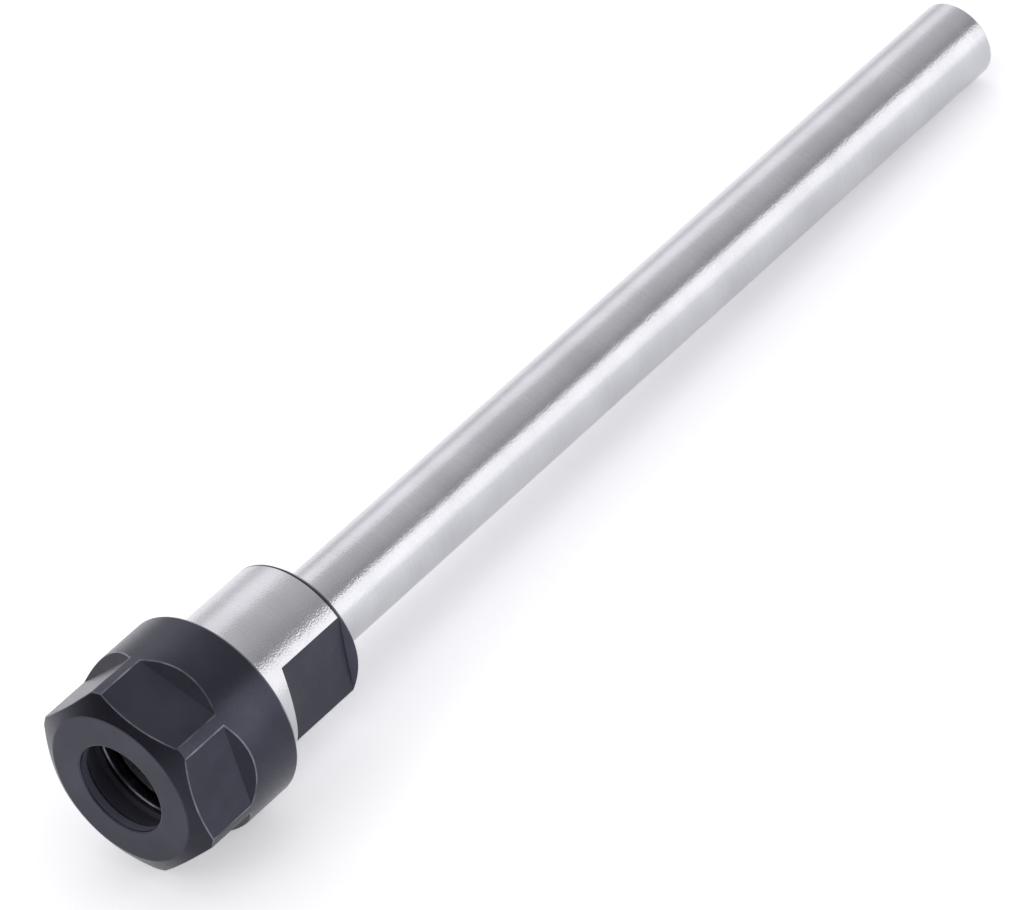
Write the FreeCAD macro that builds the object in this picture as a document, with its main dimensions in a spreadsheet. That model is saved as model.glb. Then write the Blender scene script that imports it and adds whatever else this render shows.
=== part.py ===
import FreeCAD, Part
import math
import os
import Sketcher

# Collet chuck extension, lengths in millimetres and angles in degrees.
# +X runs along the tool's axis, from the shank's tail to the nut's front face.
# X = 0 is the shoulder where the shank meets the head.

SIZES = {
    # shank
    "shank_d": 8.0,
    "shank_length": 100.0,
    "shank_tail_chamfer": 0.5,
    "centre_mouth_d": 2.5,
    "centre_pilot_d": 1.0,
    "centre_pilot_depth": 1.2,
    "centre_half_angle": 30.0,
    # head with its two wrench flats
    "head_d": 14.4,
    "head_length": 11.6,
    "head_rear_chamfer": 0.5,
    "head_front_chamfer": 0.25,
    "head_across_flats": 11.8,
    "head_flat_length": 7.9,
    "head_flat_set_back": 0.5,
    "head_flat_runout_angle": 60.0,
    # threaded nose
    "relief_d": 12.9,
    "relief_width": 0.8,
    "thread_d": 14.0,
    "thread_length": 6.5,
    "nose_chamfer": 0.6,
    # collet taper and the clearance hole behind it
    "taper_mouth_d": 11.2,
    "taper_half_angle": 8.0,
    "taper_depth": 13.0,
    "clear_hole_d": 7.0,
    "clear_hole_length": 3.0,
    "drill_point_half_angle": 59.0,
    # nut
    "nut_gap": 0.15,
    "nut_d": 19.0,
    "nut_length": 12.65,
    "nut_rear_chamfer": 0.2,
    "nut_face_d": 15.1,
    "nut_front_angle": 30.0,
    "nut_across_flats": 17.0,
    "nut_flat_length": 6.3,
    "nut_runout_angle": 45.0,
    "nut_turned": -20.7,
    "nut_mouth_d": 9.0,
    "nut_mouth_chamfer": 0.1,
    "nut_land_length": 1.0,
    "nut_cone_half_angle": 30.0,
    "nut_cone_end_d": 11.6,
    "lip_groove_d": 12.4,
    "lip_groove_width": 0.9,
    "lip_offset": 0.3,
    "nut_entry_chamfer": 0.4,
    "nose_to_lip_gap": 0.4,
    # named clearance between thread and nut, on the radius
    "thread_clearance": 0.05,
}


class Measure:
    """A length with both its value and the expression that gives it."""

    def __init__(self, value, text):
        self.value = value
        self.text = text

    def join(self, other, sign, value):
        return Measure(value, "({} {} {})".format(self.text, sign, other.text))

    def __add__(self, other):
        other = as_measure(other)
        return self.join(other, "+", self.value + other.value)

    def __sub__(self, other):
        other = as_measure(other)
        return self.join(other, "-", self.value - other.value)

    def __mul__(self, other):
        other = as_measure(other)
        return self.join(other, "*", self.value * other.value)

    def __truediv__(self, other):
        other = as_measure(other)
        return self.join(other, "/", self.value / other.value)

    def __neg__(self):
        return Measure(-self.value, "(0 - {})".format(self.text))


def as_measure(number):
    if isinstance(number, Measure):
        return number
    return Measure(float(number), repr(number))


def size(name):
    return Measure(SIZES[name], "Sizes." + name)


def radius(name):
    return size(name) / 2


def tangent(name):
    return Measure(math.tan(math.radians(SIZES[name])), "tan({} * 1 deg)".format("Sizes." + name))


def write_sizes(doc):
    sheet = doc.addObject("Spreadsheet::Sheet", "Sizes")
    for row, (name, value) in enumerate(SIZES.items(), start=1):
        sheet.set("A{}".format(row), name)
        sheet.set("B{}".format(row), str(value))
        sheet.setAlias("B{}".format(row), name)
    doc.recompute()
    return sheet


def origin_part(body, role):
    for feature in body.Origin.OriginFeatures:
        if feature.Role == role:
            return feature
    raise ValueError("no origin feature with role " + role)


def new_sketch(doc, body, name, plane, offset=None):
    sketch = doc.addObject("Sketcher::SketchObject", name)
    body.addObject(sketch)
    sketch.AttachmentSupport = [(origin_part(body, plane), "")]
    sketch.MapMode = "FlatFace"
    if offset is not None:
        sketch.setExpression("AttachmentOffset.Base.z", offset.text)
    doc.recompute()
    return sketch


def place_point(sketch, line, x, y):
    """Holds the start of a line at x, y from the sketch's origin."""
    if x.value == 0:
        sketch.addConstraint(Sketcher.Constraint("PointOnObject", line, 1, -2))
    else:
        row = sketch.addConstraint(Sketcher.Constraint("DistanceX", -1, 1, line, 1, x.value))
        sketch.setExpression("Constraints[{}]".format(row), x.text)
    if y.value == 0:
        sketch.addConstraint(Sketcher.Constraint("PointOnObject", line, 1, -1))
    else:
        row = sketch.addConstraint(Sketcher.Constraint("DistanceY", -1, 1, line, 1, y.value))
        sketch.setExpression("Constraints[{}]".format(row), y.text)


def add_outline(sketch, corners):
    """Draws a closed outline through the corners, each held by its own sizes."""
    corners = [(as_measure(x), as_measure(y)) for x, y in corners]
    points = [FreeCAD.Vector(x.value, y.value, 0) for x, y in corners]
    lines = []
    for start, end in zip(points, points[1:] + points[:1]):
        lines.append(sketch.addGeometry(Part.LineSegment(start, end), False))
    for line, following in zip(lines, lines[1:] + lines[:1]):
        sketch.addConstraint(Sketcher.Constraint("Coincident", line, 2, following, 1))
    for line, (x, y) in zip(lines, corners):
        place_point(sketch, line, x, y)


def add_circle(sketch, x, y, r):
    """Draws a circle with its centre on the sketch's vertical axis or at x, y."""
    centre = FreeCAD.Vector(x.value, y.value, 0)
    circle = sketch.addGeometry(Part.Circle(centre, FreeCAD.Vector(0, 0, 1), r.value), False)
    row = sketch.addConstraint(Sketcher.Constraint("Radius", circle, r.value))
    sketch.setExpression("Constraints[{}]".format(row), r.text)
    if x.value == 0:
        sketch.addConstraint(Sketcher.Constraint("PointOnObject", circle, 3, -2))
    else:
        row = sketch.addConstraint(Sketcher.Constraint("DistanceX", -1, 1, circle, 3, x.value))
        sketch.setExpression("Constraints[{}]".format(row), x.text)
    row = sketch.addConstraint(Sketcher.Constraint("DistanceY", -1, 1, circle, 3, y.value))
    sketch.setExpression("Constraints[{}]".format(row), y.text)


def new_body(doc, label):
    body = doc.addObject("PartDesign::Body", label)
    body.Label = label
    body.Placement = FreeCAD.Placement()
    doc.recompute()
    return body


def revolve(doc, body, sketch, name):
    feature = doc.addObject("PartDesign::Revolution", name)
    body.addObject(feature)
    feature.Profile = sketch
    feature.ReferenceAxis = (sketch, ["H_Axis"])
    feature.Angle = 360
    doc.recompute()
    return feature


def cut(doc, body, sketch, name, length, towards_normal):
    """Pockets along the sketch's normal, or against it, and checks that metal came off."""
    before = body.Shape.Volume
    feature = doc.addObject("PartDesign::Pocket", name)
    body.addObject(feature)
    feature.Profile = sketch
    feature.Reversed = towards_normal
    feature.setExpression("Length", length.text)
    doc.recompute()
    if not body.Shape.Volume < before - 0.01:
        raise ValueError(name + " removed nothing")
    return feature


def tail_x():
    return -size("shank_length")


def relief_end_x():
    return size("head_length") + size("relief_width")


def nose_x():
    return relief_end_x() + size("thread_length")


def taper_end_x():
    return nose_x() - size("taper_depth")


def nut_rear_x():
    return size("head_length") + size("nut_gap")


def nut_front_x():
    return nut_rear_x() + size("nut_length")


def body_outline():
    """Half section of the chuck body: outside from tail to nose, then back inside."""
    taper_small_r = radius("taper_mouth_d") - size("taper_depth") * tangent("taper_half_angle")
    hole_end_x = taper_end_x() - size("clear_hole_length")
    drill_tip_x = hole_end_x - radius("clear_hole_d") / tangent("drill_point_half_angle")
    centre_cone = (radius("centre_mouth_d") - radius("centre_pilot_d")) / tangent("centre_half_angle")
    pilot_end_x = tail_x() + centre_cone + size("centre_pilot_depth")
    pilot_tip_x = pilot_end_x + radius("centre_pilot_d") / tangent("drill_point_half_angle")
    return [
        (tail_x(), radius("centre_mouth_d")),
        (tail_x(), radius("shank_d") - size("shank_tail_chamfer")),
        (tail_x() + size("shank_tail_chamfer"), radius("shank_d")),
        (0, radius("shank_d")),
        (0, radius("head_d") - size("head_rear_chamfer")),
        (size("head_rear_chamfer"), radius("head_d")),
        (size("head_length") - size("head_front_chamfer"), radius("head_d")),
        (size("head_length"), radius("head_d") - size("head_front_chamfer")),
        (size("head_length"), radius("relief_d")),
        (relief_end_x(), radius("relief_d")),
        (relief_end_x() + (radius("thread_d") - radius("relief_d")), radius("thread_d")),
        (nose_x() - size("nose_chamfer"), radius("thread_d")),
        (nose_x(), radius("thread_d") - size("nose_chamfer")),
        (nose_x(), radius("taper_mouth_d")),
        (taper_end_x(), taper_small_r),
        (taper_end_x(), radius("clear_hole_d")),
        (hole_end_x, radius("clear_hole_d")),
        (drill_tip_x, 0),
        (pilot_tip_x, 0),
        (pilot_end_x, radius("centre_pilot_d")),
        (tail_x() + centre_cone, radius("centre_pilot_d")),
    ]


def build_chuck_body(doc):
    """Shank, head, threaded nose and collet taper, turned from one bar."""
    body = new_body(doc, "chuck_body")
    profile = new_sketch(doc, body, "body_profile", "XZ_Plane")
    add_outline(profile, body_outline())
    doc.recompute()
    revolve(doc, body, profile, "body_turned")
    cut_head_flats(doc, body)
    return body


def cut_head_flats(doc, body):
    """Mills the two wrench flats, each with a sloping run-out at both ends."""
    near = radius("head_across_flats")
    far = radius("head_d") + 1
    rear_x = size("head_flat_set_back")
    front_x = rear_x + size("head_flat_length")
    slope = (far - near) / tangent("head_flat_runout_angle")
    flats = new_sketch(doc, body, "head_flats_profile", "XY_Plane", -far)
    add_outline(flats, [(rear_x, near), (front_x, near), (front_x + slope, far), (rear_x - slope, far)])
    add_outline(flats, [(rear_x, -near), (rear_x - slope, -far), (front_x + slope, -far), (front_x, -near)])
    doc.recompute()
    cut(doc, body, flats, "head_flats", far * 2, True)


def lip_front_x():
    """X of the lip groove's front wall, where the nut's cone ends."""
    cone = (radius("nut_cone_end_d") - radius("nut_mouth_d")) / tangent("nut_cone_half_angle")
    return nut_front_x() - size("nut_land_length") - cone


def lip_rear_x():
    """X where the lip ends and the nut's threaded bore starts."""
    return nose_x() + size("nose_to_lip_gap")


def nut_outline():
    """Half section of the nut, without its eccentric lip."""
    bore_r = radius("thread_d") + size("thread_clearance")
    face_r = radius("nut_face_d")
    front_chamfer = (radius("nut_d") - face_r) * tangent("nut_front_angle")
    mouth_edge = size("nut_mouth_chamfer")
    groove_end_x = lip_front_x() - size("lip_groove_width")
    return [
        (nut_rear_x(), bore_r + size("nut_entry_chamfer")),
        (nut_rear_x(), radius("nut_d") - size("nut_rear_chamfer")),
        (nut_rear_x() + size("nut_rear_chamfer"), radius("nut_d")),
        (nut_front_x() - front_chamfer, radius("nut_d")),
        (nut_front_x(), face_r),
        (nut_front_x(), radius("nut_mouth_d") + mouth_edge),
        (nut_front_x() - mouth_edge, radius("nut_mouth_d")),
        (nut_front_x() - size("nut_land_length"), radius("nut_mouth_d")),
        (lip_front_x(), radius("nut_cone_end_d")),
        (lip_front_x(), radius("lip_groove_d")),
        (groove_end_x, radius("lip_groove_d")),
        (groove_end_x, radius("nut_mouth_d")),
        (lip_rear_x(), radius("nut_mouth_d")),
        (lip_rear_x(), bore_r),
        (nut_rear_x() + size("nut_entry_chamfer"), bore_r),
    ]


def cut_hex(doc, body):
    """Mills one flat with its sloped run-out, then repeats it six times."""
    flat_r = radius("nut_across_flats")
    over_r = radius("nut_d") + 1
    end_x = nut_front_x() - size("nut_flat_length")
    runout_x = end_x - (over_r - flat_r) / tangent("nut_runout_angle")
    past_x = nut_front_x() + 1
    side = new_sketch(doc, body, "hex_flat_profile", "XZ_Plane", -radius("nut_d"))
    add_outline(side, [(past_x, flat_r), (past_x, over_r), (runout_x, over_r), (end_x, flat_r)])
    doc.recompute()
    flat = cut(doc, body, side, "hex_flat", size("nut_d"), True)
    pattern = doc.addObject("PartDesign::PolarPattern", "hex_flats")
    body.addObject(pattern)
    pattern.Originals = [flat]
    pattern.Axis = (origin_part(body, "X_Axis"), [""])
    pattern.Angle = 360
    pattern.Occurrences = 6
    body.Tip = pattern
    doc.recompute()


def build_nut(doc):
    """Hex nut with a round flange, a 30 degree seat and an eccentric lip."""
    body = new_body(doc, "clamping_nut")
    profile = new_sketch(doc, body, "nut_profile", "XZ_Plane")
    add_outline(profile, nut_outline())
    doc.recompute()
    revolve(doc, body, profile, "nut_turned_blank")
    lip = new_sketch(doc, body, "lip_profile", "YZ_Plane", lip_rear_x())
    lip_length = lip_front_x() - lip_rear_x()
    add_circle(lip, as_measure(0), size("lip_offset"), radius("nut_cone_end_d"))
    doc.recompute()
    cut(doc, body, lip, "eccentric_lip", lip_length, True)
    cut_hex(doc, body)
    body.Placement = FreeCAD.Placement(
        FreeCAD.Vector(), FreeCAD.Rotation(FreeCAD.Vector(1, 0, 0), SIZES["nut_turned"]))
    body.setExpression("Placement.Rotation.Angle", "Sizes.nut_turned * 1 deg")
    doc.recompute()
    return body


def check_document(doc, bodies):
    for item in doc.Objects:
        if "Invalid" in item.State or "Error" in item.State:
            raise ValueError(item.Name + " did not compute")
    for body in bodies:
        if body.Shape.isNull() or not body.Shape.isValid() or len(body.Shape.Solids) != 1:
            raise ValueError(body.Label + " is not one sound solid")


def main():
    os.makedirs("parts", exist_ok=True)
    doc = FreeCAD.newDocument("collet_chuck_extension")
    write_sizes(doc)
    bodies = [build_chuck_body(doc), build_nut(doc)]
    doc.recompute()
    check_document(doc, bodies)
    for body in bodies:
        body.Shape.exportStep(os.path.join("parts", body.Label + ".step"))
        box = body.Shape.BoundBox
        print(body.Label, "volume", round(body.Shape.Volume, 2),
              "x", round(box.XMin, 3), round(box.XMax, 3),
              "z", round(box.ZMin, 3), round(box.ZMax, 3))


main()
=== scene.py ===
"""Collet chuck extension: the ground and blackened finish of its two pieces, and the stage they lie on."""

import math

import bpy
from bpy.props import FloatProperty, FloatVectorProperty, IntProperty, PointerProperty
from mathutils import Matrix, Vector


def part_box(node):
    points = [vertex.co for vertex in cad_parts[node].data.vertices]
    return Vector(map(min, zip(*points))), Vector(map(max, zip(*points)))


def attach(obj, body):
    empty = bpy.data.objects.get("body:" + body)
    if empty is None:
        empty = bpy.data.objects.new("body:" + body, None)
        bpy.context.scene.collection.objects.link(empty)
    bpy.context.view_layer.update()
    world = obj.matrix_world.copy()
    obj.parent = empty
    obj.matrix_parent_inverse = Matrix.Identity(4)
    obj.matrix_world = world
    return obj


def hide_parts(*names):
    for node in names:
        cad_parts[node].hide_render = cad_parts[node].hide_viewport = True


bl_info = {
    "name": "Collet Chuck Extension",
    "version": (1, 0, 0),
    "blender": (4, 5, 0),
    "location": "View3D > Sidebar > Collet Chuck",
    "description": "Builds a collet chuck extension and the stage it lies on",
    "category": "Add Mesh",
}

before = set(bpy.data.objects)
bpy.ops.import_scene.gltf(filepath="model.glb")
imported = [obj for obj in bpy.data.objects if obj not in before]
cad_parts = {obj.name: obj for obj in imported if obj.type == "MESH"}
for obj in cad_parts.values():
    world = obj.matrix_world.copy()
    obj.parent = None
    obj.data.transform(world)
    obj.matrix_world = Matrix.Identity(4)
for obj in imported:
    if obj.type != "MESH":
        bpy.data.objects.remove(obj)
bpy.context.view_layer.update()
BODY_LOW, BODY_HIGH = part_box("chuck_body")
NUT_LOW, NUT_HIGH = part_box("clamping_nut")

# Where the nose ends, which is the CAD body's front
NOSE_X = BODY_HIGH.x

MM = 0.001

# How close two places must be to count as the same when faces are picked
SLACK = 0.02 * MM

# Corners of a turned shape closer than this become one, and the same after it is cut
WELD = 0.0005 * MM
CUT_WELD = 0.01 * MM

# Half angles of the tools that made the holes and the nut's inner cone
DRILL_POINT = math.radians(59.0)
CENTRE_DRILL = math.radians(30.0)
NUT_CONE = math.radians(30.0)

# Edges flatter than this are shaded smooth, on the pieces and on the wound thread
SMOOTH_BELOW = math.radians(35.0)
THREAD_SMOOTH_BELOW = math.radians(25.0)

# Edges sharper than this are broken
BREAK_ABOVE = math.radians(20.0)

# Where the photograph was taken from, in the part's own frame
PHOTO_CAMERA_AT = Vector((0.37029, 0.39357, 0.42205))
PHOTO_CAMERA_AIM = Vector((-0.03268, -0.00243, -0.00428))
PHOTO_CAMERA_ROLL = math.radians(-10.44)
PHOTO_CAMERA_LENS = 275.1

# Brightness of the studio tent by direction round the tool's axis, in degrees
# from straight up, positive towards +Y, where 1 is white
TENT_LEVELS = ((-180, 0.5), (-110, 0.85), (-70, 1.0), (-45, 1.0), (-20, 0.84), (0, 0.76), (20, 0.64),
               (36, 0.50), (44, 0.42), (100, 0.38), (130, 0.5), (180, 0.5))

# The tent's cloth is a trace blue
TENT_TINT = (0.975, 0.975, 1.0)

# Where the two lamps beside the shank hang along the tool, well behind its tail, so
# that the shank mirrors them as bands along its whole length
LAMP_X = -0.45

# The floor as the camera and mirrors see it: how much is added to its lit colour right
# under the tool, at the shadow's edge and far away, and where those begin. The smaller
# amounts near the tool paint shade there.
GLOW_UNDER, GLOW_EDGE, GLOW_FAR = 0.28, 0.46, 0.60
GLOW_EDGE_AT, GLOW_FAR_AT = 6 * MM, 40 * MM


def linear(text):
    """Turns an sRGB colour written as six hex digits into linear red, green and blue."""
    parts = [int(text[i:i + 2], 16) / 255 for i in (1, 3, 5)]
    return tuple(c / 12.92 if c <= 0.04045 else ((c + 0.055) / 1.055) ** 2.4 for c in parts)


def mm_size(name, description, default):
    """A length property whose default is written in millimetres."""
    return FloatProperty(name=name, description=description, default=default * MM, unit="LENGTH",
                         subtype="DISTANCE", precision=5)


def colour(name, description, default):
    """A colour property whose default is written as sRGB hex."""
    return FloatVectorProperty(name=name, description=description, default=linear(default),
                               subtype="COLOR", size=3, min=0.0, max=1.0)


class ChuckBodySizes(bpy.types.PropertyGroup):
    """Sizes of the turned and ground body."""

    shank_diameter: mm_size("Shank diameter", "Across the ground shank", 8.0)
    tail_chamfer: mm_size("Tail chamfer", "Width of the chamfer round the shank's end", 0.5)
    centre_mouth: mm_size("Centre hole mouth", "Across the centre hole in the tail", 2.5)
    centre_pilot: mm_size("Centre hole pilot", "Across the bottom of the centre hole", 1.0)
    centre_pilot_depth: mm_size("Pilot depth", "Depth of the pilot behind the centre hole's cone", 1.2)
    head_diameter: mm_size("Head diameter", "Across the ground head", 14.4)
    head_length: mm_size("Head length", "From the shoulder to the thread relief", 11.6)
    head_rear_chamfer: mm_size("Rear chamfer", "Width of the head's rear chamfer", 0.5)
    head_front_chamfer: mm_size("Front chamfer", "Width of the head's front chamfer", 0.25)
    across_flats: mm_size("Across flats", "Between the head's two wrench flats", 11.8)
    flat_length: mm_size("Flat length", "Length of each wrench flat along the head", 7.9)
    flat_set_back: mm_size("Flat set back", "From the shoulder to the flat's rear end", 0.5)
    flat_runout: FloatProperty(name="Flat run-out", description="Slope of the flat's two ends",
                               default=math.radians(60.0), subtype="ANGLE")
    black_rim: mm_size("Black rim", "How far the grinding stops short of the rear chamfer", 0.2)
    relief_diameter: mm_size("Relief diameter", "Across the groove behind the thread", 12.9)
    relief_width: mm_size("Relief width", "Width of the groove behind the thread", 0.8)
    thread_diameter: mm_size("Thread diameter", "Over the nose's thread", 14.0)
    thread_pitch: mm_size("Thread pitch", "From one thread crest to the next", 0.75)
    thread_depth: mm_size("Thread depth", "From thread crest to root", 0.46)
    nose_chamfer: mm_size("Nose chamfer", "Width of the chamfer round the nose", 0.6)
    taper_mouth: mm_size("Taper mouth", "Across the collet taper's mouth", 11.2)
    taper_depth: mm_size("Taper depth", "Length of the collet taper", 13.0)
    taper_half_angle: FloatProperty(name="Taper half angle",
                                    description="Between the taper's wall and the axis",
                                    default=math.radians(8.0), subtype="ANGLE")
    clear_hole: mm_size("Clearance hole", "Across the hole behind the taper", 7.0)
    clear_hole_length: mm_size("Clearance hole length", "Straight length of the hole behind the taper",
                               3.0)
    edge_break: mm_size("Edge break", "Width of the broken edges", 0.04)


class ClampingNutSizes(bpy.types.PropertyGroup):
    """Sizes of the hex clamping nut."""

    flange_diameter: mm_size("Flange diameter", "Across the nut's round flange", 19.0)
    face_diameter: mm_size("Face diameter", "Across the flat ring on the nut's front", 15.1)
    front_angle: FloatProperty(name="Front angle", description="Slope of the chamfer behind the front ring",
                               default=math.radians(30.0), subtype="ANGLE")
    rear_chamfer: mm_size("Rear chamfer", "Width of the flange's rear chamfer", 0.2)
    across_flats: mm_size("Across flats", "Between two opposite flats of the hex", 17.0)
    flat_length: mm_size("Flat length", "From the front face to the flat's end", 6.3)
    turned: FloatProperty(name="Turned", description="How far the hex is turned on its thread",
                          default=math.radians(-20.7), subtype="ANGLE")
    mouth_diameter: mm_size("Mouth diameter", "Across the front opening", 9.0)
    mouth_chamfer: mm_size("Mouth chamfer", "Width of the opening's broken edge", 0.1)
    land_length: mm_size("Land length", "Straight length of the front opening", 1.0)
    cone_end: mm_size("Cone end", "Across the wide end of the nut's inner cone", 11.6)
    groove_diameter: mm_size("Groove diameter", "Across the groove behind the cone", 12.4)
    groove_width: mm_size("Groove width", "Width of the groove behind the cone", 0.9)
    lip_offset: mm_size("Lip offset", "How far the collet lip is off centre", 0.3)
    lip_chamfer: mm_size("Lip chamfer", "Width of the worn chamfer on the collet lip", 0.2)
    lip_gap: mm_size("Lip gap", "From the nose to the collet lip", 0.4)
    bore_clearance: mm_size("Bore clearance", "Radial clearance between nut and thread", 0.05)
    entry_chamfer: mm_size("Entry chamfer", "Width of the chamfer where the thread starts", 0.4)
    # The rounding takes the lighter edge colour, which paints a highlight along it
    edge_break: mm_size("Edge break", "Width of the worn edges", 0.08)


class ChuckFinish(bpy.types.PropertyGroup):
    """Colours of the part and its stage, and how finely round shapes are divided."""

    ground: colour("Ground steel", "Colour of the ground steel", "#c4c4c8")
    oxide: colour("Black oxide", "Colour of the black oxide", "#3e3e48")
    # A lighter colour for the nut's rounded edges and collet lip, which paints their highlight
    edge_highlight_colour: colour("Worn edge", "Colour where the oxide is thin along an edge", "#80808a")
    floor: colour("Floor", "Colour of the surface under the part", "#f5f5f8")
    round_steps: IntProperty(name="Round steps", description="Facets round a turned shape",
                             default=156, min=24, max=360)


def node(tree, kind, settings=None, inputs=None):
    """Adds one node, sets its properties, and links or sets its inputs."""
    made = tree.nodes.new(kind)
    for name, value in (settings or {}).items():
        setattr(made, name, value)
    for name, value in (inputs or {}).items():
        if isinstance(value, bpy.types.NodeSocket):
            tree.links.new(value, made.inputs[name])
        else:
            made.inputs[name].default_value = value
    return made


def new_material(name):
    """An empty node material and its output node."""
    material = bpy.data.materials.new(name)
    material.use_nodes = True
    material.node_tree.nodes.clear()
    output = node(material.node_tree, "ShaderNodeOutputMaterial")
    return material, output


def start_piece():
    """Leaves nothing selected, so that an operator acts only on the new piece."""
    if bpy.context.object and bpy.context.object.mode != "OBJECT":
        bpy.ops.object.mode_set(mode="OBJECT")
    bpy.ops.object.select_all(action="DESELECT")


def single_point(at):
    """Starts a mesh as one vertex, ready to be extruded, in edit mode."""
    start_piece()
    bpy.ops.mesh.primitive_plane_add(size=MM)
    bpy.ops.object.mode_set(mode="EDIT")
    bpy.ops.mesh.select_mode(type="VERT")
    bpy.ops.mesh.select_all(action="SELECT")
    bpy.ops.mesh.merge(type="CENTER")
    bpy.ops.transform.translate(value=at)
    return bpy.context.object


def turn_piece(name, outline, steps):
    """Spins a closed half section, given as (x, radius) points, about the X axis."""
    piece = single_point((outline[0][0], 0, outline[0][1]))
    piece.name = piece.data.name = name
    for (x0, r0), (x1, r1) in zip(outline, outline[1:]):
        bpy.ops.mesh.extrude_vertices_move(TRANSFORM_OT_translate={"value": (x1 - x0, 0, r1 - r0)})
    if outline[0][1] > 0 or outline[-1][1] > 0:
        home = (outline[0][0] - outline[-1][0], 0, outline[0][1] - outline[-1][1])
        bpy.ops.mesh.extrude_vertices_move(TRANSFORM_OT_translate={"value": home})
    bpy.ops.mesh.select_all(action="SELECT")
    bpy.ops.mesh.spin(steps=steps, angle=2 * math.pi, center=(0, 0, 0), axis=(1, 0, 0))
    bpy.ops.mesh.select_all(action="SELECT")
    bpy.ops.mesh.remove_doubles(threshold=WELD)
    bpy.ops.mesh.dissolve_degenerate(threshold=WELD)
    bpy.ops.mesh.select_all(action="SELECT")
    bpy.ops.mesh.normals_make_consistent(inside=False)
    bpy.ops.object.mode_set(mode="OBJECT")
    return piece


def block(low, high):
    """A plain block between two corners, used to cut with."""
    start_piece()
    low, high = Vector(low), Vector(high)
    bpy.ops.mesh.primitive_cube_add(size=1, location=(low + high) / 2)
    cutter = bpy.context.object
    cutter.scale = high - low
    bpy.ops.object.transform_apply(location=True, rotation=True, scale=True)
    return cutter


def lean_corners(cutter, at_x, picked, shift):
    """Moves along X the cutter's corners that lie at at_x and that picked chooses."""
    bpy.ops.object.mode_set(mode="EDIT")
    bpy.ops.mesh.select_mode(type="VERT")
    bpy.ops.mesh.select_all(action="DESELECT")
    bpy.ops.object.mode_set(mode="OBJECT")
    for corner in cutter.data.vertices:
        corner.select = abs(corner.co.x - at_x) < 0.01 * MM and picked(corner.co)
    bpy.ops.object.mode_set(mode="EDIT")
    bpy.ops.transform.translate(value=(shift, 0, 0))
    bpy.ops.object.mode_set(mode="OBJECT")


def cut_away(piece, cutter):
    """Takes the cutter's shape off the piece and keeps the cutter."""
    start_piece()
    bpy.context.view_layer.objects.active = piece
    piece.select_set(True)
    cut = piece.modifiers.new("Cut", "BOOLEAN")
    cut.operation = "DIFFERENCE"
    cut.solver = "EXACT"
    cut.object = cutter
    bpy.ops.object.modifier_apply(modifier=cut.name)


def remove(thing):
    """Deletes a cutter once its cuts are made."""
    bpy.data.objects.remove(thing, do_unlink=True)


def select_edges(piece, wanted):
    """Selects the edges that wanted picks by the two faces beside them, and stays in edit mode."""
    bpy.ops.object.mode_set(mode="EDIT")
    bpy.ops.mesh.select_mode(type="EDGE")
    bpy.ops.mesh.select_all(action="DESELECT")
    bpy.ops.object.mode_set(mode="OBJECT")
    sides = {}
    for face in piece.data.polygons:
        for key in face.edge_keys:
            sides.setdefault(key, []).append(face)
    for edge in piece.data.edges:
        faces = sides.get(edge.key, [])
        if len(faces) == 2:
            edge.select = wanted(*faces)
    bpy.ops.object.mode_set(mode="EDIT")


def sharpen_borders(piece, slot):
    """Marks sharp the edges between the slot's faces and all others, so that neither shades the other."""
    def borders(one, other):
        return (one.material_index == slot) != (other.material_index == slot)

    select_edges(piece, borders)
    bpy.ops.mesh.mark_sharp()
    bpy.ops.mesh.select_mode(type="VERT")
    bpy.ops.object.mode_set(mode="OBJECT")


def break_edges(piece, width, slot=-1):
    """Rounds each sharp edge that stands out. A slot of 0 or more is the rounding's own material slot."""
    def stands_out(one, other):
        return (one.normal.angle(other.normal, 0) > BREAK_ABOVE
                and (other.center - one.center).dot(one.normal) < 0)

    start_piece()
    bpy.context.view_layer.objects.active = piece
    piece.select_set(True)
    bpy.ops.object.mode_set(mode="EDIT")
    bpy.ops.mesh.select_all(action="SELECT")
    bpy.ops.mesh.remove_doubles(threshold=CUT_WELD)
    bpy.ops.mesh.dissolve_degenerate(threshold=CUT_WELD)
    bpy.ops.object.mode_set(mode="OBJECT")
    select_edges(piece, stands_out)
    bpy.ops.transform.edge_bevelweight(value=1)
    bpy.ops.mesh.select_mode(type="VERT")
    bpy.ops.object.mode_set(mode="OBJECT")
    bevel = piece.modifiers.new("Edge break", "BEVEL")
    bevel.width = width
    bevel.segments = 2
    bevel.limit_method = "WEIGHT"
    bevel.use_clamp_overlap = False
    bevel.miter_outer = "MITER_ARC"
    bevel.material = slot
    bevel.loop_slide = False
    bpy.ops.object.modifier_apply(modifier=bevel.name)
    bpy.ops.object.shade_smooth_by_angle(angle=SMOOTH_BELOW)
    if slot >= 0:
        sharpen_borders(piece, slot)
    weighted = piece.modifiers.new("Face weight", "WEIGHTED_NORMAL")
    weighted.keep_sharp = True
    weighted.weight = 100
    bpy.ops.object.modifier_apply(modifier=weighted.name)


def give_finish(piece, choose):
    """Sets each face's material slot from what choose says of its centre, radius and normal."""
    for face in piece.data.polygons:
        slot = choose(face.center, math.hypot(face.center.y, face.center.z), face.normal)
        if slot is not None:
            face.material_index = slot


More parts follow.
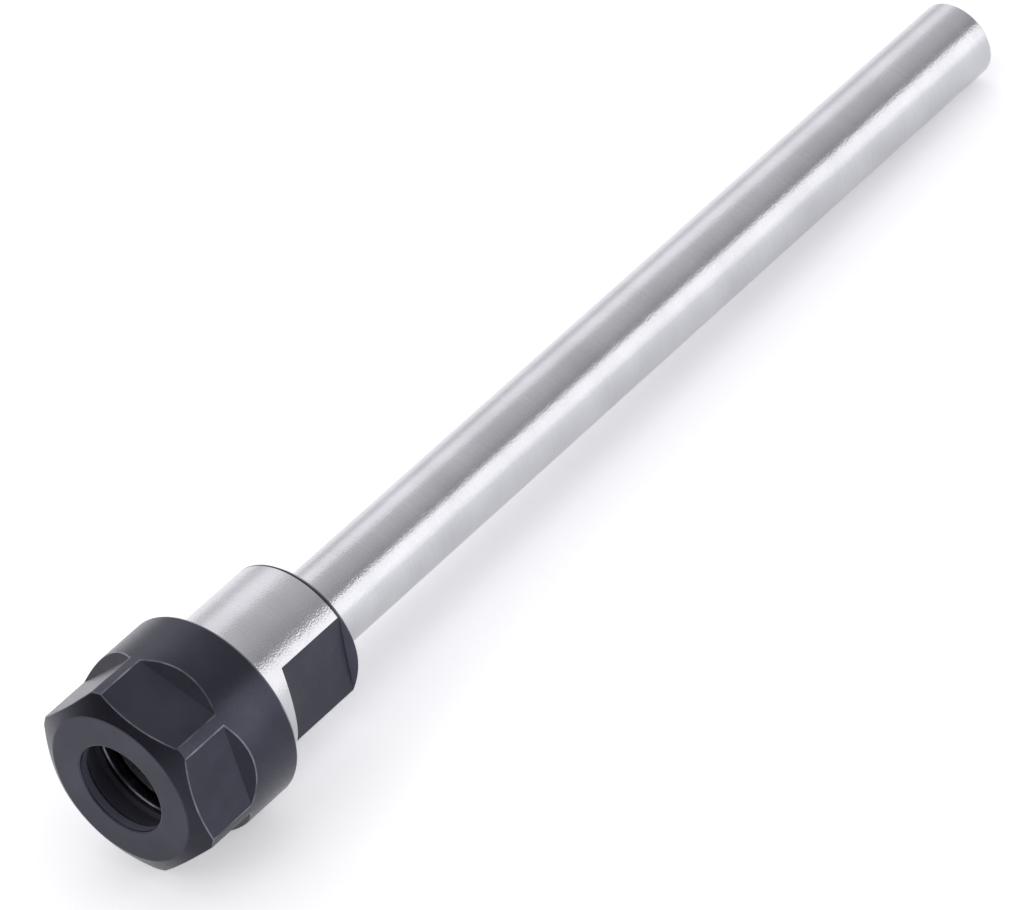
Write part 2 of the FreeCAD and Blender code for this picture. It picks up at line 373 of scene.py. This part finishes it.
def ground_steel(finish):
    """Hardened tool steel, cylindrically ground: bright, with fine scratches round the axis.

    The scratches run round the piece, and a fine grain lies over them, so a lamp's
    reflection has a broken, glittering edge. Real grinding marks are about 0.02 mm
    apart. Here they are 0.08 mm and the grain is 0.17 mm, so that they show.
    """
    material, output = new_material("ground_tool_steel")
    tree = material.node_tree
    place = node(tree, "ShaderNodeTexCoord").outputs["Object"]
    marks_scale = (1 / (0.08 * MM), 1 / (3 * MM), 1 / (3 * MM))
    marks_place = node(tree, "ShaderNodeMapping", inputs={"Vector": place, "Scale": marks_scale})
    marks = node(tree, "ShaderNodeTexNoise", inputs={
        "Vector": marks_place.outputs["Vector"], "Scale": 1.0, "Detail": 3.0, "Roughness": 0.6})
    speck = node(tree, "ShaderNodeTexNoise", inputs={
        "Vector": place, "Scale": 1 / (0.17 * MM), "Detail": 2.0, "Roughness": 0.5})
    cloud = node(tree, "ShaderNodeTexNoise", inputs={
        "Vector": place, "Scale": 1 / (6 * MM), "Detail": 2.0, "Roughness": 0.5})
    blend = node(tree, "ShaderNodeMath", {"operation": "MULTIPLY_ADD"}, {
        0: marks.outputs["Fac"], 1: 0.6, 2: cloud.outputs["Fac"]})
    base = tuple(finish.ground) + (1.0,)
    dark = tuple(c * 0.86 for c in finish.ground) + (1.0,)
    tone = node(tree, "ShaderNodeMapRange", inputs={
        "Value": blend.outputs["Value"], "From Min": 0.55, "From Max": 1.05})
    shade = node(tree, "ShaderNodeMix", {"data_type": "RGBA"}, {
        "Factor": tone.outputs["Result"], "A": dark, "B": base})
    rough = node(tree, "ShaderNodeMapRange", inputs={
        "Value": speck.outputs["Fac"], "From Min": 0.3, "From Max": 0.7, "To Min": 0.13, "To Max": 0.24})
    marks_bump = node(tree, "ShaderNodeBump", inputs={
        "Strength": 0.35, "Distance": 0.004 * MM, "Height": marks.outputs["Fac"]})
    speck_bump = node(tree, "ShaderNodeBump", inputs={
        "Strength": 1.0, "Distance": 0.022 * MM, "Height": speck.outputs["Fac"],
        "Normal": marks_bump.outputs["Normal"]})
    shader = node(tree, "ShaderNodeBsdfPrincipled", inputs={
        "Base Color": shade.outputs["Result"], "Metallic": 1.0, "Roughness": rough.outputs["Result"],
        "Normal": speck_bump.outputs["Normal"]})
    tree.links.new(shader.outputs["BSDF"], output.inputs["Surface"])
    return material


def faced_steel(finish, name, depth, roughness):
    """The same steel as left by a facing or boring tool: duller, with rings and pits of the depth in mm.

    A real tool's feed leaves rings about 0.1 mm apart. Here they are 0.75 mm, so that
    they show.
    """
    material, output = new_material(name)
    tree = material.node_tree
    place = node(tree, "ShaderNodeTexCoord").outputs["Object"]
    rings = node(tree, "ShaderNodeTexWave", {"wave_type": "RINGS", "rings_direction": "X"}, {
        "Vector": place, "Scale": 1 / (0.12 * MM) / 20, "Distortion": 0.4, "Detail": 2.0})
    rings_bump = node(tree, "ShaderNodeBump", inputs={
        "Strength": 0.3, "Distance": depth * MM, "Height": rings.outputs["Fac"]})
    pits = node(tree, "ShaderNodeTexNoise", inputs={
        "Vector": place, "Scale": 1 / (0.25 * MM), "Detail": 2.0, "Roughness": 0.5})
    pits_bump = node(tree, "ShaderNodeBump", inputs={
        "Strength": 1.0, "Distance": 2 * depth * MM, "Height": pits.outputs["Fac"],
        "Normal": rings_bump.outputs["Normal"]})
    shader = node(tree, "ShaderNodeBsdfPrincipled", inputs={
        "Base Color": tuple(c * 0.85 for c in finish.ground) + (1.0,), "Metallic": 1.0,
        "Roughness": roughness, "Normal": pits_bump.outputs["Normal"]})
    tree.links.new(shader.outputs["BSDF"], output.inputs["Surface"])
    return material


def black_oxide(finish, name, tool_marks, level=1.0, roughness=(0.26, 0.38), metal=1.0):
    """Black oxide on steel, oiled: a dark metal with a violet cast, satin, with the cutter's marks under it.

    Magnetite mirrors like a metal but gives back a twentieth of the light, so it is
    nearly black where it faces the eye and pale at a glancing angle. tool_marks gives
    the marks' spacing in mm along X, Y and Z, about 0.1 mm across them. The oxide's
    colour is multiplied by level, so a level above 1 makes a copy that paints light and
    a level below 1 a copy that paints shade. With metal at 0 it is dull and non-metal.
    """
    material, output = new_material(name)
    tree = material.node_tree
    place = node(tree, "ShaderNodeTexCoord").outputs["Object"]
    marks_place = node(tree, "ShaderNodeMapping", inputs={
        "Vector": place, "Scale": tuple(1 / (size * MM) for size in tool_marks)})
    marks = node(tree, "ShaderNodeTexNoise", inputs={
        "Vector": marks_place.outputs["Vector"], "Scale": 1.0, "Detail": 2.0, "Roughness": 0.5})
    grain = node(tree, "ShaderNodeTexNoise", inputs={
        "Vector": place, "Scale": 1 / (0.22 * MM), "Detail": 3.0, "Roughness": 0.6})
    stain = node(tree, "ShaderNodeTexNoise", inputs={
        "Vector": place, "Scale": 1 / (4.5 * MM), "Detail": 2.0, "Roughness": 0.5})
    tone = node(tree, "ShaderNodeMapRange", inputs={
        "Value": stain.outputs["Fac"], "From Min": 0.35, "From Max": 0.7})
    shade = node(tree, "ShaderNodeMix", {"data_type": "RGBA"}, {
        "Factor": tone.outputs["Result"], "A": tuple(c * 0.88 * level for c in finish.oxide) + (1.0,),
        "B": tuple(c * 1.12 * level for c in finish.oxide) + (1.0,)})
    rough = node(tree, "ShaderNodeMapRange", inputs={
        "Value": grain.outputs["Fac"], "From Min": 0.3, "From Max": 0.7,
        "To Min": roughness[0], "To Max": roughness[1]})
    marks_bump = node(tree, "ShaderNodeBump", inputs={
        "Strength": 0.3, "Distance": 0.006 * MM, "Height": marks.outputs["Fac"]})
    grain_bump = node(tree, "ShaderNodeBump", inputs={
        "Strength": 0.25, "Distance": 0.008 * MM, "Height": grain.outputs["Fac"],
        "Normal": marks_bump.outputs["Normal"]})
    shader = node(tree, "ShaderNodeBsdfPrincipled", inputs={
        "Base Color": shade.outputs["Result"], "Metallic": metal, "Roughness": rough.outputs["Result"],
        "Normal": grain_bump.outputs["Normal"]})
    tree.links.new(shader.outputs["BSDF"], output.inputs["Surface"])
    return material


def paint_edge_highlight(finish):
    """Black oxide with a lighter grey along an edge, in patches: a painted edge highlight."""
    material, output = new_material("oxide_painted_edge_highlight")
    tree = material.node_tree
    place = node(tree, "ShaderNodeTexCoord").outputs["Object"]
    patch = node(tree, "ShaderNodeTexNoise", inputs={
        "Vector": place, "Scale": 1 / (2.5 * MM), "Detail": 3.0, "Roughness": 0.6})
    tone = node(tree, "ShaderNodeMapRange", inputs={
        "Value": patch.outputs["Fac"], "From Min": 0.35, "From Max": 0.65, "To Min": 0.25, "To Max": 1.0})
    shade = node(tree, "ShaderNodeMix", {"data_type": "RGBA"}, {
        "Factor": tone.outputs["Result"], "A": tuple(finish.oxide) + (1.0,),
        "B": tuple(finish.edge_highlight_colour) + (1.0,)})
    shader = node(tree, "ShaderNodeBsdfPrincipled", inputs={
        "Base Color": shade.outputs["Result"], "Metallic": 1.0, "Roughness": 0.33})
    tree.links.new(shader.outputs["BSDF"], output.inputs["Surface"])
    return material


def body_outline(sizes):
    """Half section of the body from the tail's outside round to the centre hole."""
    tail = BODY_LOW.x
    shank_r = sizes.shank_diameter / 2
    head_r = sizes.head_diameter / 2
    root_r = sizes.thread_diameter / 2 - sizes.thread_depth
    mouth_r = sizes.taper_mouth / 2
    hole_r = sizes.clear_hole / 2
    taper_end = NOSE_X - sizes.taper_depth
    taper_small_r = mouth_r - sizes.taper_depth * math.tan(sizes.taper_half_angle)
    hole_end = taper_end - sizes.clear_hole_length
    drill_point = 1 / math.tan(DRILL_POINT)
    centre_r, pilot_r = sizes.centre_mouth / 2, sizes.centre_pilot / 2
    cone_end = tail + (centre_r - pilot_r) / math.tan(CENTRE_DRILL)
    pilot_end = cone_end + sizes.centre_pilot_depth
    relief_end = sizes.head_length + sizes.relief_width
    relief_slope, root_chamfer = 0.1 * MM, 0.15 * MM
    return [
        (pilot_end + pilot_r * drill_point, 0),
        (pilot_end, pilot_r),
        (cone_end, pilot_r),
        (tail, centre_r),
        (tail, shank_r - sizes.tail_chamfer),
        (tail + sizes.tail_chamfer, shank_r),
        (0, shank_r),
        (0, head_r - sizes.head_rear_chamfer),
        (sizes.head_rear_chamfer, head_r),
        (sizes.head_rear_chamfer + sizes.black_rim, head_r),
        (sizes.head_length - sizes.head_front_chamfer, head_r),
        (sizes.head_length, head_r - sizes.head_front_chamfer),
        (sizes.head_length, sizes.relief_diameter / 2),
        (relief_end, sizes.relief_diameter / 2),
        (relief_end + relief_slope, root_r),
        (NOSE_X - root_chamfer, root_r),
        (NOSE_X, root_r - root_chamfer),
        (NOSE_X, mouth_r),
        (taper_end, taper_small_r),
        (taper_end, hole_r),
        (hole_end, hole_r),
        (hole_end - hole_r * drill_point, 0),
    ]


def cut_head_flats(piece, sizes):
    """Mills the two wrench flats, each with a sloping run-out at both ends."""
    reach = sizes.head_diameter
    start, end = sizes.flat_set_back, sizes.flat_set_back + sizes.flat_length
    slope = (reach - sizes.across_flats / 2) / math.tan(sizes.flat_runout)
    for side in (1, -1):
        near, far = side * sizes.across_flats / 2, side * reach
        cutter = block((start, min(near, far), -reach), (end, max(near, far), reach))
        for at_x, shift in ((start, -slope), (end, slope)):
            lean_corners(cutter, at_x, lambda place: abs(place.y) > 0.99 * reach, shift)
        cut_away(piece, cutter)
        remove(cutter)


def thread_ridge(sizes, steps):
    """One thread crest wound round the nose, from the relief groove to the nose chamfer."""
    run_in, sunk, under_size = 0.15 * MM, 0.05 * MM, 0.01 * MM
    start = sizes.head_length + sizes.relief_width + run_in
    end = NOSE_X - sizes.nose_chamfer
    root_r = sizes.thread_diameter / 2 - sizes.thread_depth - sunk
    crest_r = sizes.thread_diameter / 2 - under_size
    half_root, half_crest = 0.44 * sizes.thread_pitch, 0.07 * sizes.thread_pitch
    first = start + half_root
    turns = int((end - first - half_root) / sizes.thread_pitch)
    ridge = single_point((first - half_root, 0, root_r))
    ridge.name = ridge.data.name = "thread_ridge"
    for step in ((half_root - half_crest, crest_r - root_r), (2 * half_crest, 0),
                 (half_root - half_crest, root_r - crest_r), (-2 * half_root, 0)):
        bpy.ops.mesh.extrude_vertices_move(TRANSFORM_OT_translate={"value": (step[0], 0, step[1])})
    bpy.ops.mesh.select_all(action="SELECT")
    bpy.ops.mesh.remove_doubles(threshold=WELD)
    bpy.ops.object.mode_set(mode="OBJECT")
    screw = ridge.modifiers.new("Thread", "SCREW")
    screw.axis = "X"
    screw.angle = 2 * math.pi
    screw.screw_offset = sizes.thread_pitch
    screw.iterations = turns
    screw.steps = screw.render_steps = steps
    bpy.ops.object.modifier_apply(modifier=screw.name)
    bpy.ops.object.mode_set(mode="EDIT")
    bpy.ops.mesh.select_all(action="DESELECT")
    bpy.ops.mesh.select_mode(type="EDGE")
    bpy.ops.mesh.select_non_manifold()
    bpy.ops.mesh.fill()
    bpy.ops.mesh.select_mode(type="VERT")
    bpy.ops.mesh.select_all(action="SELECT")
    bpy.ops.mesh.normals_make_consistent(inside=False)
    bpy.ops.object.mode_set(mode="OBJECT")
    bpy.ops.object.shade_smooth_by_angle(angle=THREAD_SMOOTH_BELOW)
    return ridge


class CHUCK_OT_body(bpy.types.Operator):
    """Turn, mill and finish the chuck body"""

    bl_idname = "chuck.body"
    bl_label = "Chuck body"

    def execute(self, context):
        sizes, finish = context.scene.chuck_body_sizes, context.scene.chuck_finish
        piece = turn_piece("chuck_body_finished", body_outline(sizes), finish.round_steps)
        cut_head_flats(piece, sizes)
        for material in (ground_steel(finish),
                         black_oxide(finish, "blackened_turned_steel", (0.1, 3, 3)),
                         black_oxide(finish, "blackened_milled_flat", (3, 3, 0.12)),
                         # A lighter copy of the oxide: painted light on the flats' rear run-outs
                         black_oxide(finish, "blackened_flat_runout_painted_light", (3, 3, 0.12), 1.8, (0.34, 0.46)),
                         faced_steel(finish, "faced_tool_steel", 0.006, 0.32),
                         faced_steel(finish, "bored_taper_steel", 0.06, 0.5)):
            piece.data.materials.append(material)
        GROUND, BLACK, MILLED, RUNOUT, FACED, BORED = range(6)
        head_r, shank_r = sizes.head_diameter / 2, sizes.shank_diameter / 2
        flat_y = sizes.across_flats / 2
        tail = BODY_LOW.x

        def choose(centre, radius, normal):
            # A flat's own faces lie inside the head's radius; its rear run-out faces forwards
            on_head = -SLACK < centre.x < sizes.head_length - sizes.head_front_chamfer
            if (on_head and abs(centre.y) > flat_y - SLACK and radius < head_r - SLACK
                    and (normal.x > -0.1 or centre.x > sizes.flat_length)):
                return RUNOUT if normal.x > 0.5 else MILLED
            if centre.x < tail + sizes.centre_pilot_depth * 3 and radius < sizes.centre_mouth / 2 - SLACK:
                return FACED
            if abs(centre.x - tail) < SLACK:
                return FACED
            if -SLACK < centre.x < sizes.head_rear_chamfer + sizes.black_rim and radius > shank_r + SLACK:
                return BLACK
            if centre.x >= sizes.head_length - SLACK and radius > sizes.taper_mouth / 2 + SLACK:
                return BLACK
            if centre.x > -SLACK and radius < sizes.taper_mouth / 2:
                return BORED
            return GROUND

        give_finish(piece, choose)
        break_edges(piece, sizes.edge_break)
        ridge = thread_ridge(sizes, finish.round_steps // 2)
        ridge.data.materials.append(piece.data.materials[BLACK])
        start_piece()
        ridge.select_set(True)
        piece.select_set(True)
        context.view_layer.objects.active = piece
        bpy.ops.object.join()
        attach(piece, "chuck_body")
        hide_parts("chuck_body")
        return {"FINISHED"}


def nut_outline(sizes, body):
    """Half section of the nut, with the collet lip still solid."""
    rear, front = NUT_LOW.x, NUT_HIGH.x
    flange_r, face_r = sizes.flange_diameter / 2, sizes.face_diameter / 2
    mouth_r, bore_r = sizes.mouth_diameter / 2, body.thread_diameter / 2 + sizes.bore_clearance
    chamfer = (flange_r - face_r) * math.tan(sizes.front_angle)
    land_end = front - sizes.land_length
    cone_end = land_end - (sizes.cone_end / 2 - mouth_r) / math.tan(NUT_CONE)
    groove_end = cone_end - sizes.groove_width
    lip_end = NOSE_X + sizes.lip_gap
    return [
        (rear, bore_r + sizes.entry_chamfer),
        (rear, flange_r - sizes.rear_chamfer),
        (rear + sizes.rear_chamfer, flange_r),
        (front - chamfer, flange_r),
        (front, face_r),
        (front, mouth_r + sizes.mouth_chamfer),
        (front - sizes.mouth_chamfer, mouth_r),
        (land_end, mouth_r),
        (cone_end, sizes.cone_end / 2),
        (cone_end, sizes.groove_diameter / 2),
        (groove_end, sizes.groove_diameter / 2),
        (groove_end, mouth_r),
        (lip_end, mouth_r),
        (lip_end, bore_r),
        (rear + sizes.entry_chamfer, bore_r),
    ]


def cut_collet_lip(piece, sizes, steps):
    """Bores the lip off centre, so that it catches the collet's groove."""
    past_rear, past_front = 0.3 * MM, 0.02 * MM
    lip_rear = NOSE_X + sizes.lip_gap
    land_end = NUT_HIGH.x - sizes.land_length
    cone_end = land_end - (sizes.cone_end - sizes.mouth_diameter) / 2 / math.tan(NUT_CONE)
    lip_front = cone_end - sizes.groove_width
    lip_r = sizes.cone_end / 2
    cutter = turn_piece("lip_cutter", [
        (lip_rear - past_rear, 0), (lip_rear - past_rear, lip_r), (lip_front - sizes.lip_chamfer, lip_r),
        (lip_front + past_front, lip_r + sizes.lip_chamfer), (lip_front + past_front, 0)], steps)
    cutter.location = Vector((0, -math.sin(sizes.turned), math.cos(sizes.turned))) * sizes.lip_offset
    bpy.context.view_layer.update()
    cut_away(piece, cutter)
    remove(cutter)


def cut_nut_hex(piece, sizes):
    """Mills the six flats, each ending in the cutter's sloped run-out before the flange."""
    flat_r, over_r = sizes.across_flats / 2, sizes.flange_diameter / 2 + MM
    end = NUT_HIGH.x - sizes.flat_length
    cutter = block((end, -sizes.flange_diameter, flat_r),
                   (NUT_HIGH.x + MM, sizes.flange_diameter, over_r))
    lean_corners(cutter, end, lambda place: place.z > 0.99 * over_r, flat_r - over_r)
    for side in range(6):
        cutter.rotation_euler = (sizes.turned + side * math.pi / 3, 0, 0)
        bpy.context.view_layer.update()
        cut_away(piece, cutter)
    remove(cutter)


class CHUCK_OT_nut(bpy.types.Operator):
    """Turn, mill and blacken the clamping nut"""

    bl_idname = "chuck.nut"
    bl_label = "Clamping nut"

    def execute(self, context):
        sizes, body = context.scene.clamping_nut_sizes, context.scene.chuck_body_sizes
        finish = context.scene.chuck_finish
        piece = turn_piece("clamping_nut_finished", nut_outline(sizes, body), finish.round_steps)
        piece.rotation_euler = (sizes.turned, 0, 0)
        bpy.ops.object.transform_apply(location=False, rotation=True, scale=False)
        cut_collet_lip(piece, sizes, finish.round_steps)
        cut_nut_hex(piece, sizes)
        for material in (black_oxide(finish, "blackened_nut_turned", (0.1, 3, 3)),
                         black_oxide(finish, "blackened_nut_milled", (0.12, 3, 3)),
                         # A darker copy of the oxide: painted shade on the hex flats' run-outs
                         black_oxide(finish, "blackened_nut_runout_painted_shade", (3, 0.12, 0.12), 0.75, (0.4, 0.5)),
                         # A darker copy of the oxide: painted shade on the chamfer behind the front ring
                         black_oxide(finish, "blackened_nut_chamfer_painted_shade", (0.1, 3, 3), 0.68),
                         # A lighter, non-metal copy of the oxide: painted light inside the nut's bore
                         black_oxide(finish, "nut_bore_painted_light", (0.1, 3, 3), 3.5, (0.4, 0.5), 0.0),
                         paint_edge_highlight(finish)):
            piece.data.materials.append(material)
        TURNED, MILLED, RUNOUT, CHAMFER, BORE, EDGE = range(6)
        lip_rear = NOSE_X + sizes.lip_gap
        lip_front = lip_rear + MM
        groove_r, face_r = sizes.groove_diameter / 2, sizes.face_diameter / 2
        flat_end = NUT_HIGH.x - sizes.flat_length
        runout_length = 2 * MM

        def choose(centre, radius, normal):
            # The collet lip's faces take the lighter edge colour, which paints highlight rings inside the
            # mouth
            if lip_rear < centre.x < lip_front and radius < groove_r and normal.x > -0.1:
                return EDGE
            if radius < groove_r + SLACK and centre.x < NUT_HIGH.x - SLACK:
                return BORE
            if centre.x > flat_end - runout_length and radius > face_r:
                # Flats face straight out, run-outs lean 45 degrees and the front chamfer leans more
                if math.hypot(normal.y, normal.z) > 0.9999:
                    return MILLED if centre.x > flat_end else TURNED
                if abs(normal.x - math.sqrt(0.5)) < 0.01:
                    return RUNOUT
                if abs(normal.x - math.cos(sizes.front_angle)) < 0.01:
                    return CHAMFER
            return TURNED

        give_finish(piece, choose)
        # The rounded edges take the lighter edge colour, which paints a highlight along them
        break_edges(piece, sizes.edge_break, EDGE)
        # The painted edge highlight stays only along the flats: not round the face, nor on the flange
        margin = 0.3 * MM
        for face in piece.data.polygons:
            if face.material_index == EDGE and face.center.x > lip_front:
                out = math.hypot(face.center.y, face.center.z)
                if out < face_r + margin or face.center.x < flat_end + margin:
                    face.material_index = TURNED
        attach(piece, "clamping_nut")
        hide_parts("clamping_nut")
        return {"FINISHED"}


def floor_material(finish):
    """Matt white paper. The camera and mirrors see it paler than it is lit, with its shadows kept.

    What is added grows with the distance from the tool, so that the paper turns
    white away from it and is painted grey near and under it, as painted shade over its real shadow.
    """
    material, output = new_material("white_paper_sweep")
    tree = material.node_tree
    paper = node(tree, "ShaderNodeBsdfDiffuse", inputs={"Color": tuple(finish.floor) + (1.0,)})
    parts = node(tree, "ShaderNodeSeparateXYZ", inputs={
        "Vector": node(tree, "ShaderNodeTexCoord").outputs["Object"]})
    ahead = node(tree, "ShaderNodeMath", {"operation": "SUBTRACT"}, {
        0: parts.outputs["X"], 1: 0.6 * NUT_HIGH.x})
    behind = node(tree, "ShaderNodeMath", {"operation": "SUBTRACT"}, {0: BODY_LOW.x, 1: parts.outputs["X"]})
    farther = node(tree, "ShaderNodeMath", {"operation": "MAXIMUM"}, {
        0: ahead.outputs["Value"], 1: behind.outputs["Value"]})
    past_end = node(tree, "ShaderNodeMath", {"operation": "MAXIMUM"}, {0: farther.outputs["Value"], 1: 0.0})
    offset = node(tree, "ShaderNodeCombineXYZ", inputs={
        "X": past_end.outputs["Value"], "Y": parts.outputs["Y"]})
    away = node(tree, "ShaderNodeVectorMath", {"operation": "LENGTH"}, {0: offset.outputs["Vector"]})
    # Less is added near and under the tool: painted shade there
    near = node(tree, "ShaderNodeMapRange", {"interpolation_type": "SMOOTHSTEP"}, {
        "Value": away.outputs["Value"], "From Min": 0.0, "From Max": GLOW_EDGE_AT,
        "To Min": GLOW_UNDER, "To Max": GLOW_EDGE})
    far = node(tree, "ShaderNodeMapRange", inputs={
        "Value": away.outputs["Value"], "From Min": GLOW_EDGE_AT, "From Max": GLOW_FAR_AT,
        "To Min": 0.0, "To Max": GLOW_FAR - GLOW_EDGE})
    strength = node(tree, "ShaderNodeMath", {"operation": "ADD"}, {
        0: near.outputs["Result"], 1: far.outputs["Result"]})
    glow = node(tree, "ShaderNodeEmission", inputs={
        "Color": (0.99, 0.99, 1.0, 1.0), "Strength": strength.outputs["Value"]})
    path = node(tree, "ShaderNodeLightPath")
    direct = node(tree, "ShaderNodeMath", {"operation": "MAXIMUM"}, {
        0: path.outputs["Is Camera Ray"], 1: path.outputs["Is Glossy Ray"]})
    seen = node(tree, "ShaderNodeMath", {"operation": "MAXIMUM"}, {
        0: direct.outputs["Value"], 1: path.outputs["Is Transmission Ray"]})
    dark = node(tree, "ShaderNodeEmission", inputs={"Strength": 0.0})
    lift = node(tree, "ShaderNodeMixShader", inputs={
        "Fac": seen.outputs["Value"], 1: dark.outputs["Emission"], 2: glow.outputs["Emission"]})
    both = node(tree, "ShaderNodeAddShader", inputs={0: paper.outputs["BSDF"], 1: lift.outputs["Shader"]})
    tree.links.new(both.outputs["Shader"], output.inputs["Surface"])
    return material


def lay_floor(finish, body, nut):
    """A wide sheet that touches the nut's flange and the shank's tail, as the tool lies on a bench."""
    start_piece()
    front = Vector((NUT_LOW.x + nut.rear_chamfer, 0, -nut.flange_diameter / 2))
    back = Vector((BODY_LOW.x + body.tail_chamfer, 0, -body.shank_diameter / 2))
    tilt = math.atan2(front.z - back.z, front.x - back.x)
    bpy.ops.mesh.primitive_plane_add(size=6.0)
    floor = bpy.context.object
    floor.name = "bench_sheet"
    floor.data.transform(Matrix.Translation(front) @ Matrix.Rotation(-tilt, 4, "Y"))
    floor.data.materials.append(floor_material(finish))


def soft_box(name, place, aim, size, brightness):
    """A rectangular lamp that faces aim. The brightness is its face's radiance, where 1 is white."""
    lamp = bpy.data.lights.new(name, "AREA")
    lamp.shape = "RECTANGLE"
    lamp.size, lamp.size_y = size
    lamp.energy = brightness * math.pi * lamp.size * lamp.size_y
    holder = bpy.data.objects.new(name, lamp)
    bpy.context.scene.collection.objects.link(holder)
    turn = (Vector(aim) - Vector(place)).to_track_quat("-Z", "Y").to_matrix().to_4x4()
    holder.matrix_world = Matrix.Translation(place) @ turn
    holder.visible_camera = False


def beside(x, degrees, distance):
    """A place beside the tool, so many degrees round from straight above it towards +Y."""
    angle = math.radians(degrees)
    return Vector((x, math.sin(angle) * distance, math.cos(angle) * distance))


def light_room():
    """A white tent: pale on the far side of the tool, greyer on the camera's side, dimmer to the front."""
    world = bpy.data.worlds.new("studio_tent")
    bpy.context.scene.world = world
    world.use_nodes = True
    tree = world.node_tree
    tree.nodes.clear()
    output = node(tree, "ShaderNodeOutputWorld")
    look = node(tree, "ShaderNodeTexCoord").outputs["Generated"]
    parts = node(tree, "ShaderNodeSeparateXYZ", inputs={"Vector": look})
    around = node(tree, "ShaderNodeMath", {"operation": "ARCTAN2"}, {
        0: parts.outputs["Y"], 1: parts.outputs["Z"]})
    share = node(tree, "ShaderNodeMapRange", inputs={
        "Value": around.outputs["Value"], "From Min": -math.pi, "From Max": math.pi})
    ramp = node(tree, "ShaderNodeValToRGB", inputs={"Fac": share.outputs["Result"]})
    ramp.color_ramp.interpolation = "B_SPLINE"
    stops = ramp.color_ramp.elements
    for degrees, level in TENT_LEVELS[1:-1]:
        stops.new((degrees + 180) / 360)
    for stop, (degrees, level) in zip(stops, TENT_LEVELS):
        stop.position = (degrees + 180) / 360
        stop.color = (*(level * part for part in TENT_TINT), 1)
    front = node(tree, "ShaderNodeMapRange", inputs={
        "Value": parts.outputs["X"], "From Min": -0.1, "From Max": 0.6,
        "To Min": 1.0, "To Max": 0.25})
    room = node(tree, "ShaderNodeBackground", inputs={
        "Color": ramp.outputs["Color"], "Strength": front.outputs["Result"]})
    tree.links.new(room.outputs["Background"], output.inputs["Surface"])


def place_camera():
    """The photograph's own view of the tool."""
    camera = bpy.data.cameras.new("photo_camera")
    camera.lens = PHOTO_CAMERA_LENS
    camera.clip_start, camera.clip_end = 0.01, 20
    holder = bpy.data.objects.new("photo_camera", camera)
    bpy.context.scene.collection.objects.link(holder)
    aim = (PHOTO_CAMERA_AIM - PHOTO_CAMERA_AT).to_track_quat("-Z", "Y").to_matrix().to_4x4()
    roll = Matrix.Rotation(PHOTO_CAMERA_ROLL, 4, "Z")
    holder.matrix_world = Matrix.Translation(PHOTO_CAMERA_AT) @ aim @ roll
    bpy.context.scene.camera = holder


class CHUCK_OT_stage(bpy.types.Operator):
    """Lay the sheet, hang the lamps and set up the camera"""

    bl_idname = "chuck.stage"
    bl_label = "Stage"

    def execute(self, context):
        scene = context.scene
        lay_floor(scene.chuck_finish, scene.chuck_body_sizes, scene.clamping_nut_sizes)
        light_room()
        soft_box("side_lamp", beside(LAMP_X, 73.5, 0.6), (LAMP_X, 0, 0), (0.8, 0.56), 1.38)
        soft_box("back_lamp", beside(LAMP_X, -47, 0.6), (LAMP_X, 0, 0), (0.8, 0.37), 0.42)
        soft_box("front_lamp", beside(0.6, -9, 0.56), (0, 0, 0), (0.5, 0.5), 1.1)
        place_camera()
        scene.view_settings.view_transform = "Standard"
        return {"FINISHED"}


class CHUCK_PT_panel(bpy.types.Panel):
    """Lists the sizes, the finishes and the steps"""

    bl_label = "Collet Chuck Extension"
    bl_idname = "CHUCK_PT_panel"
    bl_space_type = "VIEW_3D"
    bl_region_type = "UI"
    bl_category = "Collet Chuck"

    def draw(self, context):
        layout = self.layout
        scene = context.scene
        for group in (scene.chuck_body_sizes, scene.clamping_nut_sizes, scene.chuck_finish):
            box = layout.box()
            for name in group.__annotations__:
                box.prop(group, name)
        for step in (CHUCK_OT_body, CHUCK_OT_nut, CHUCK_OT_stage):
            layout.operator(step.bl_idname)


CLASSES = (ChuckBodySizes, ClampingNutSizes, ChuckFinish, CHUCK_OT_body, CHUCK_OT_nut, CHUCK_OT_stage,
           CHUCK_PT_panel)


def register():
    for one in CLASSES:
        bpy.utils.register_class(one)
    bpy.types.Scene.chuck_body_sizes = PointerProperty(type=ChuckBodySizes)
    bpy.types.Scene.clamping_nut_sizes = PointerProperty(type=ClampingNutSizes)
    bpy.types.Scene.chuck_finish = PointerProperty(type=ChuckFinish)


def unregister():
    del bpy.types.Scene.chuck_body_sizes
    del bpy.types.Scene.clamping_nut_sizes
    del bpy.types.Scene.chuck_finish
    for one in reversed(CLASSES):
        bpy.utils.unregister_class(one)


def main():
    register()
    bpy.ops.chuck.body()
    bpy.ops.chuck.nut()
    bpy.ops.chuck.stage()


if __name__ == "__main__":
    main()
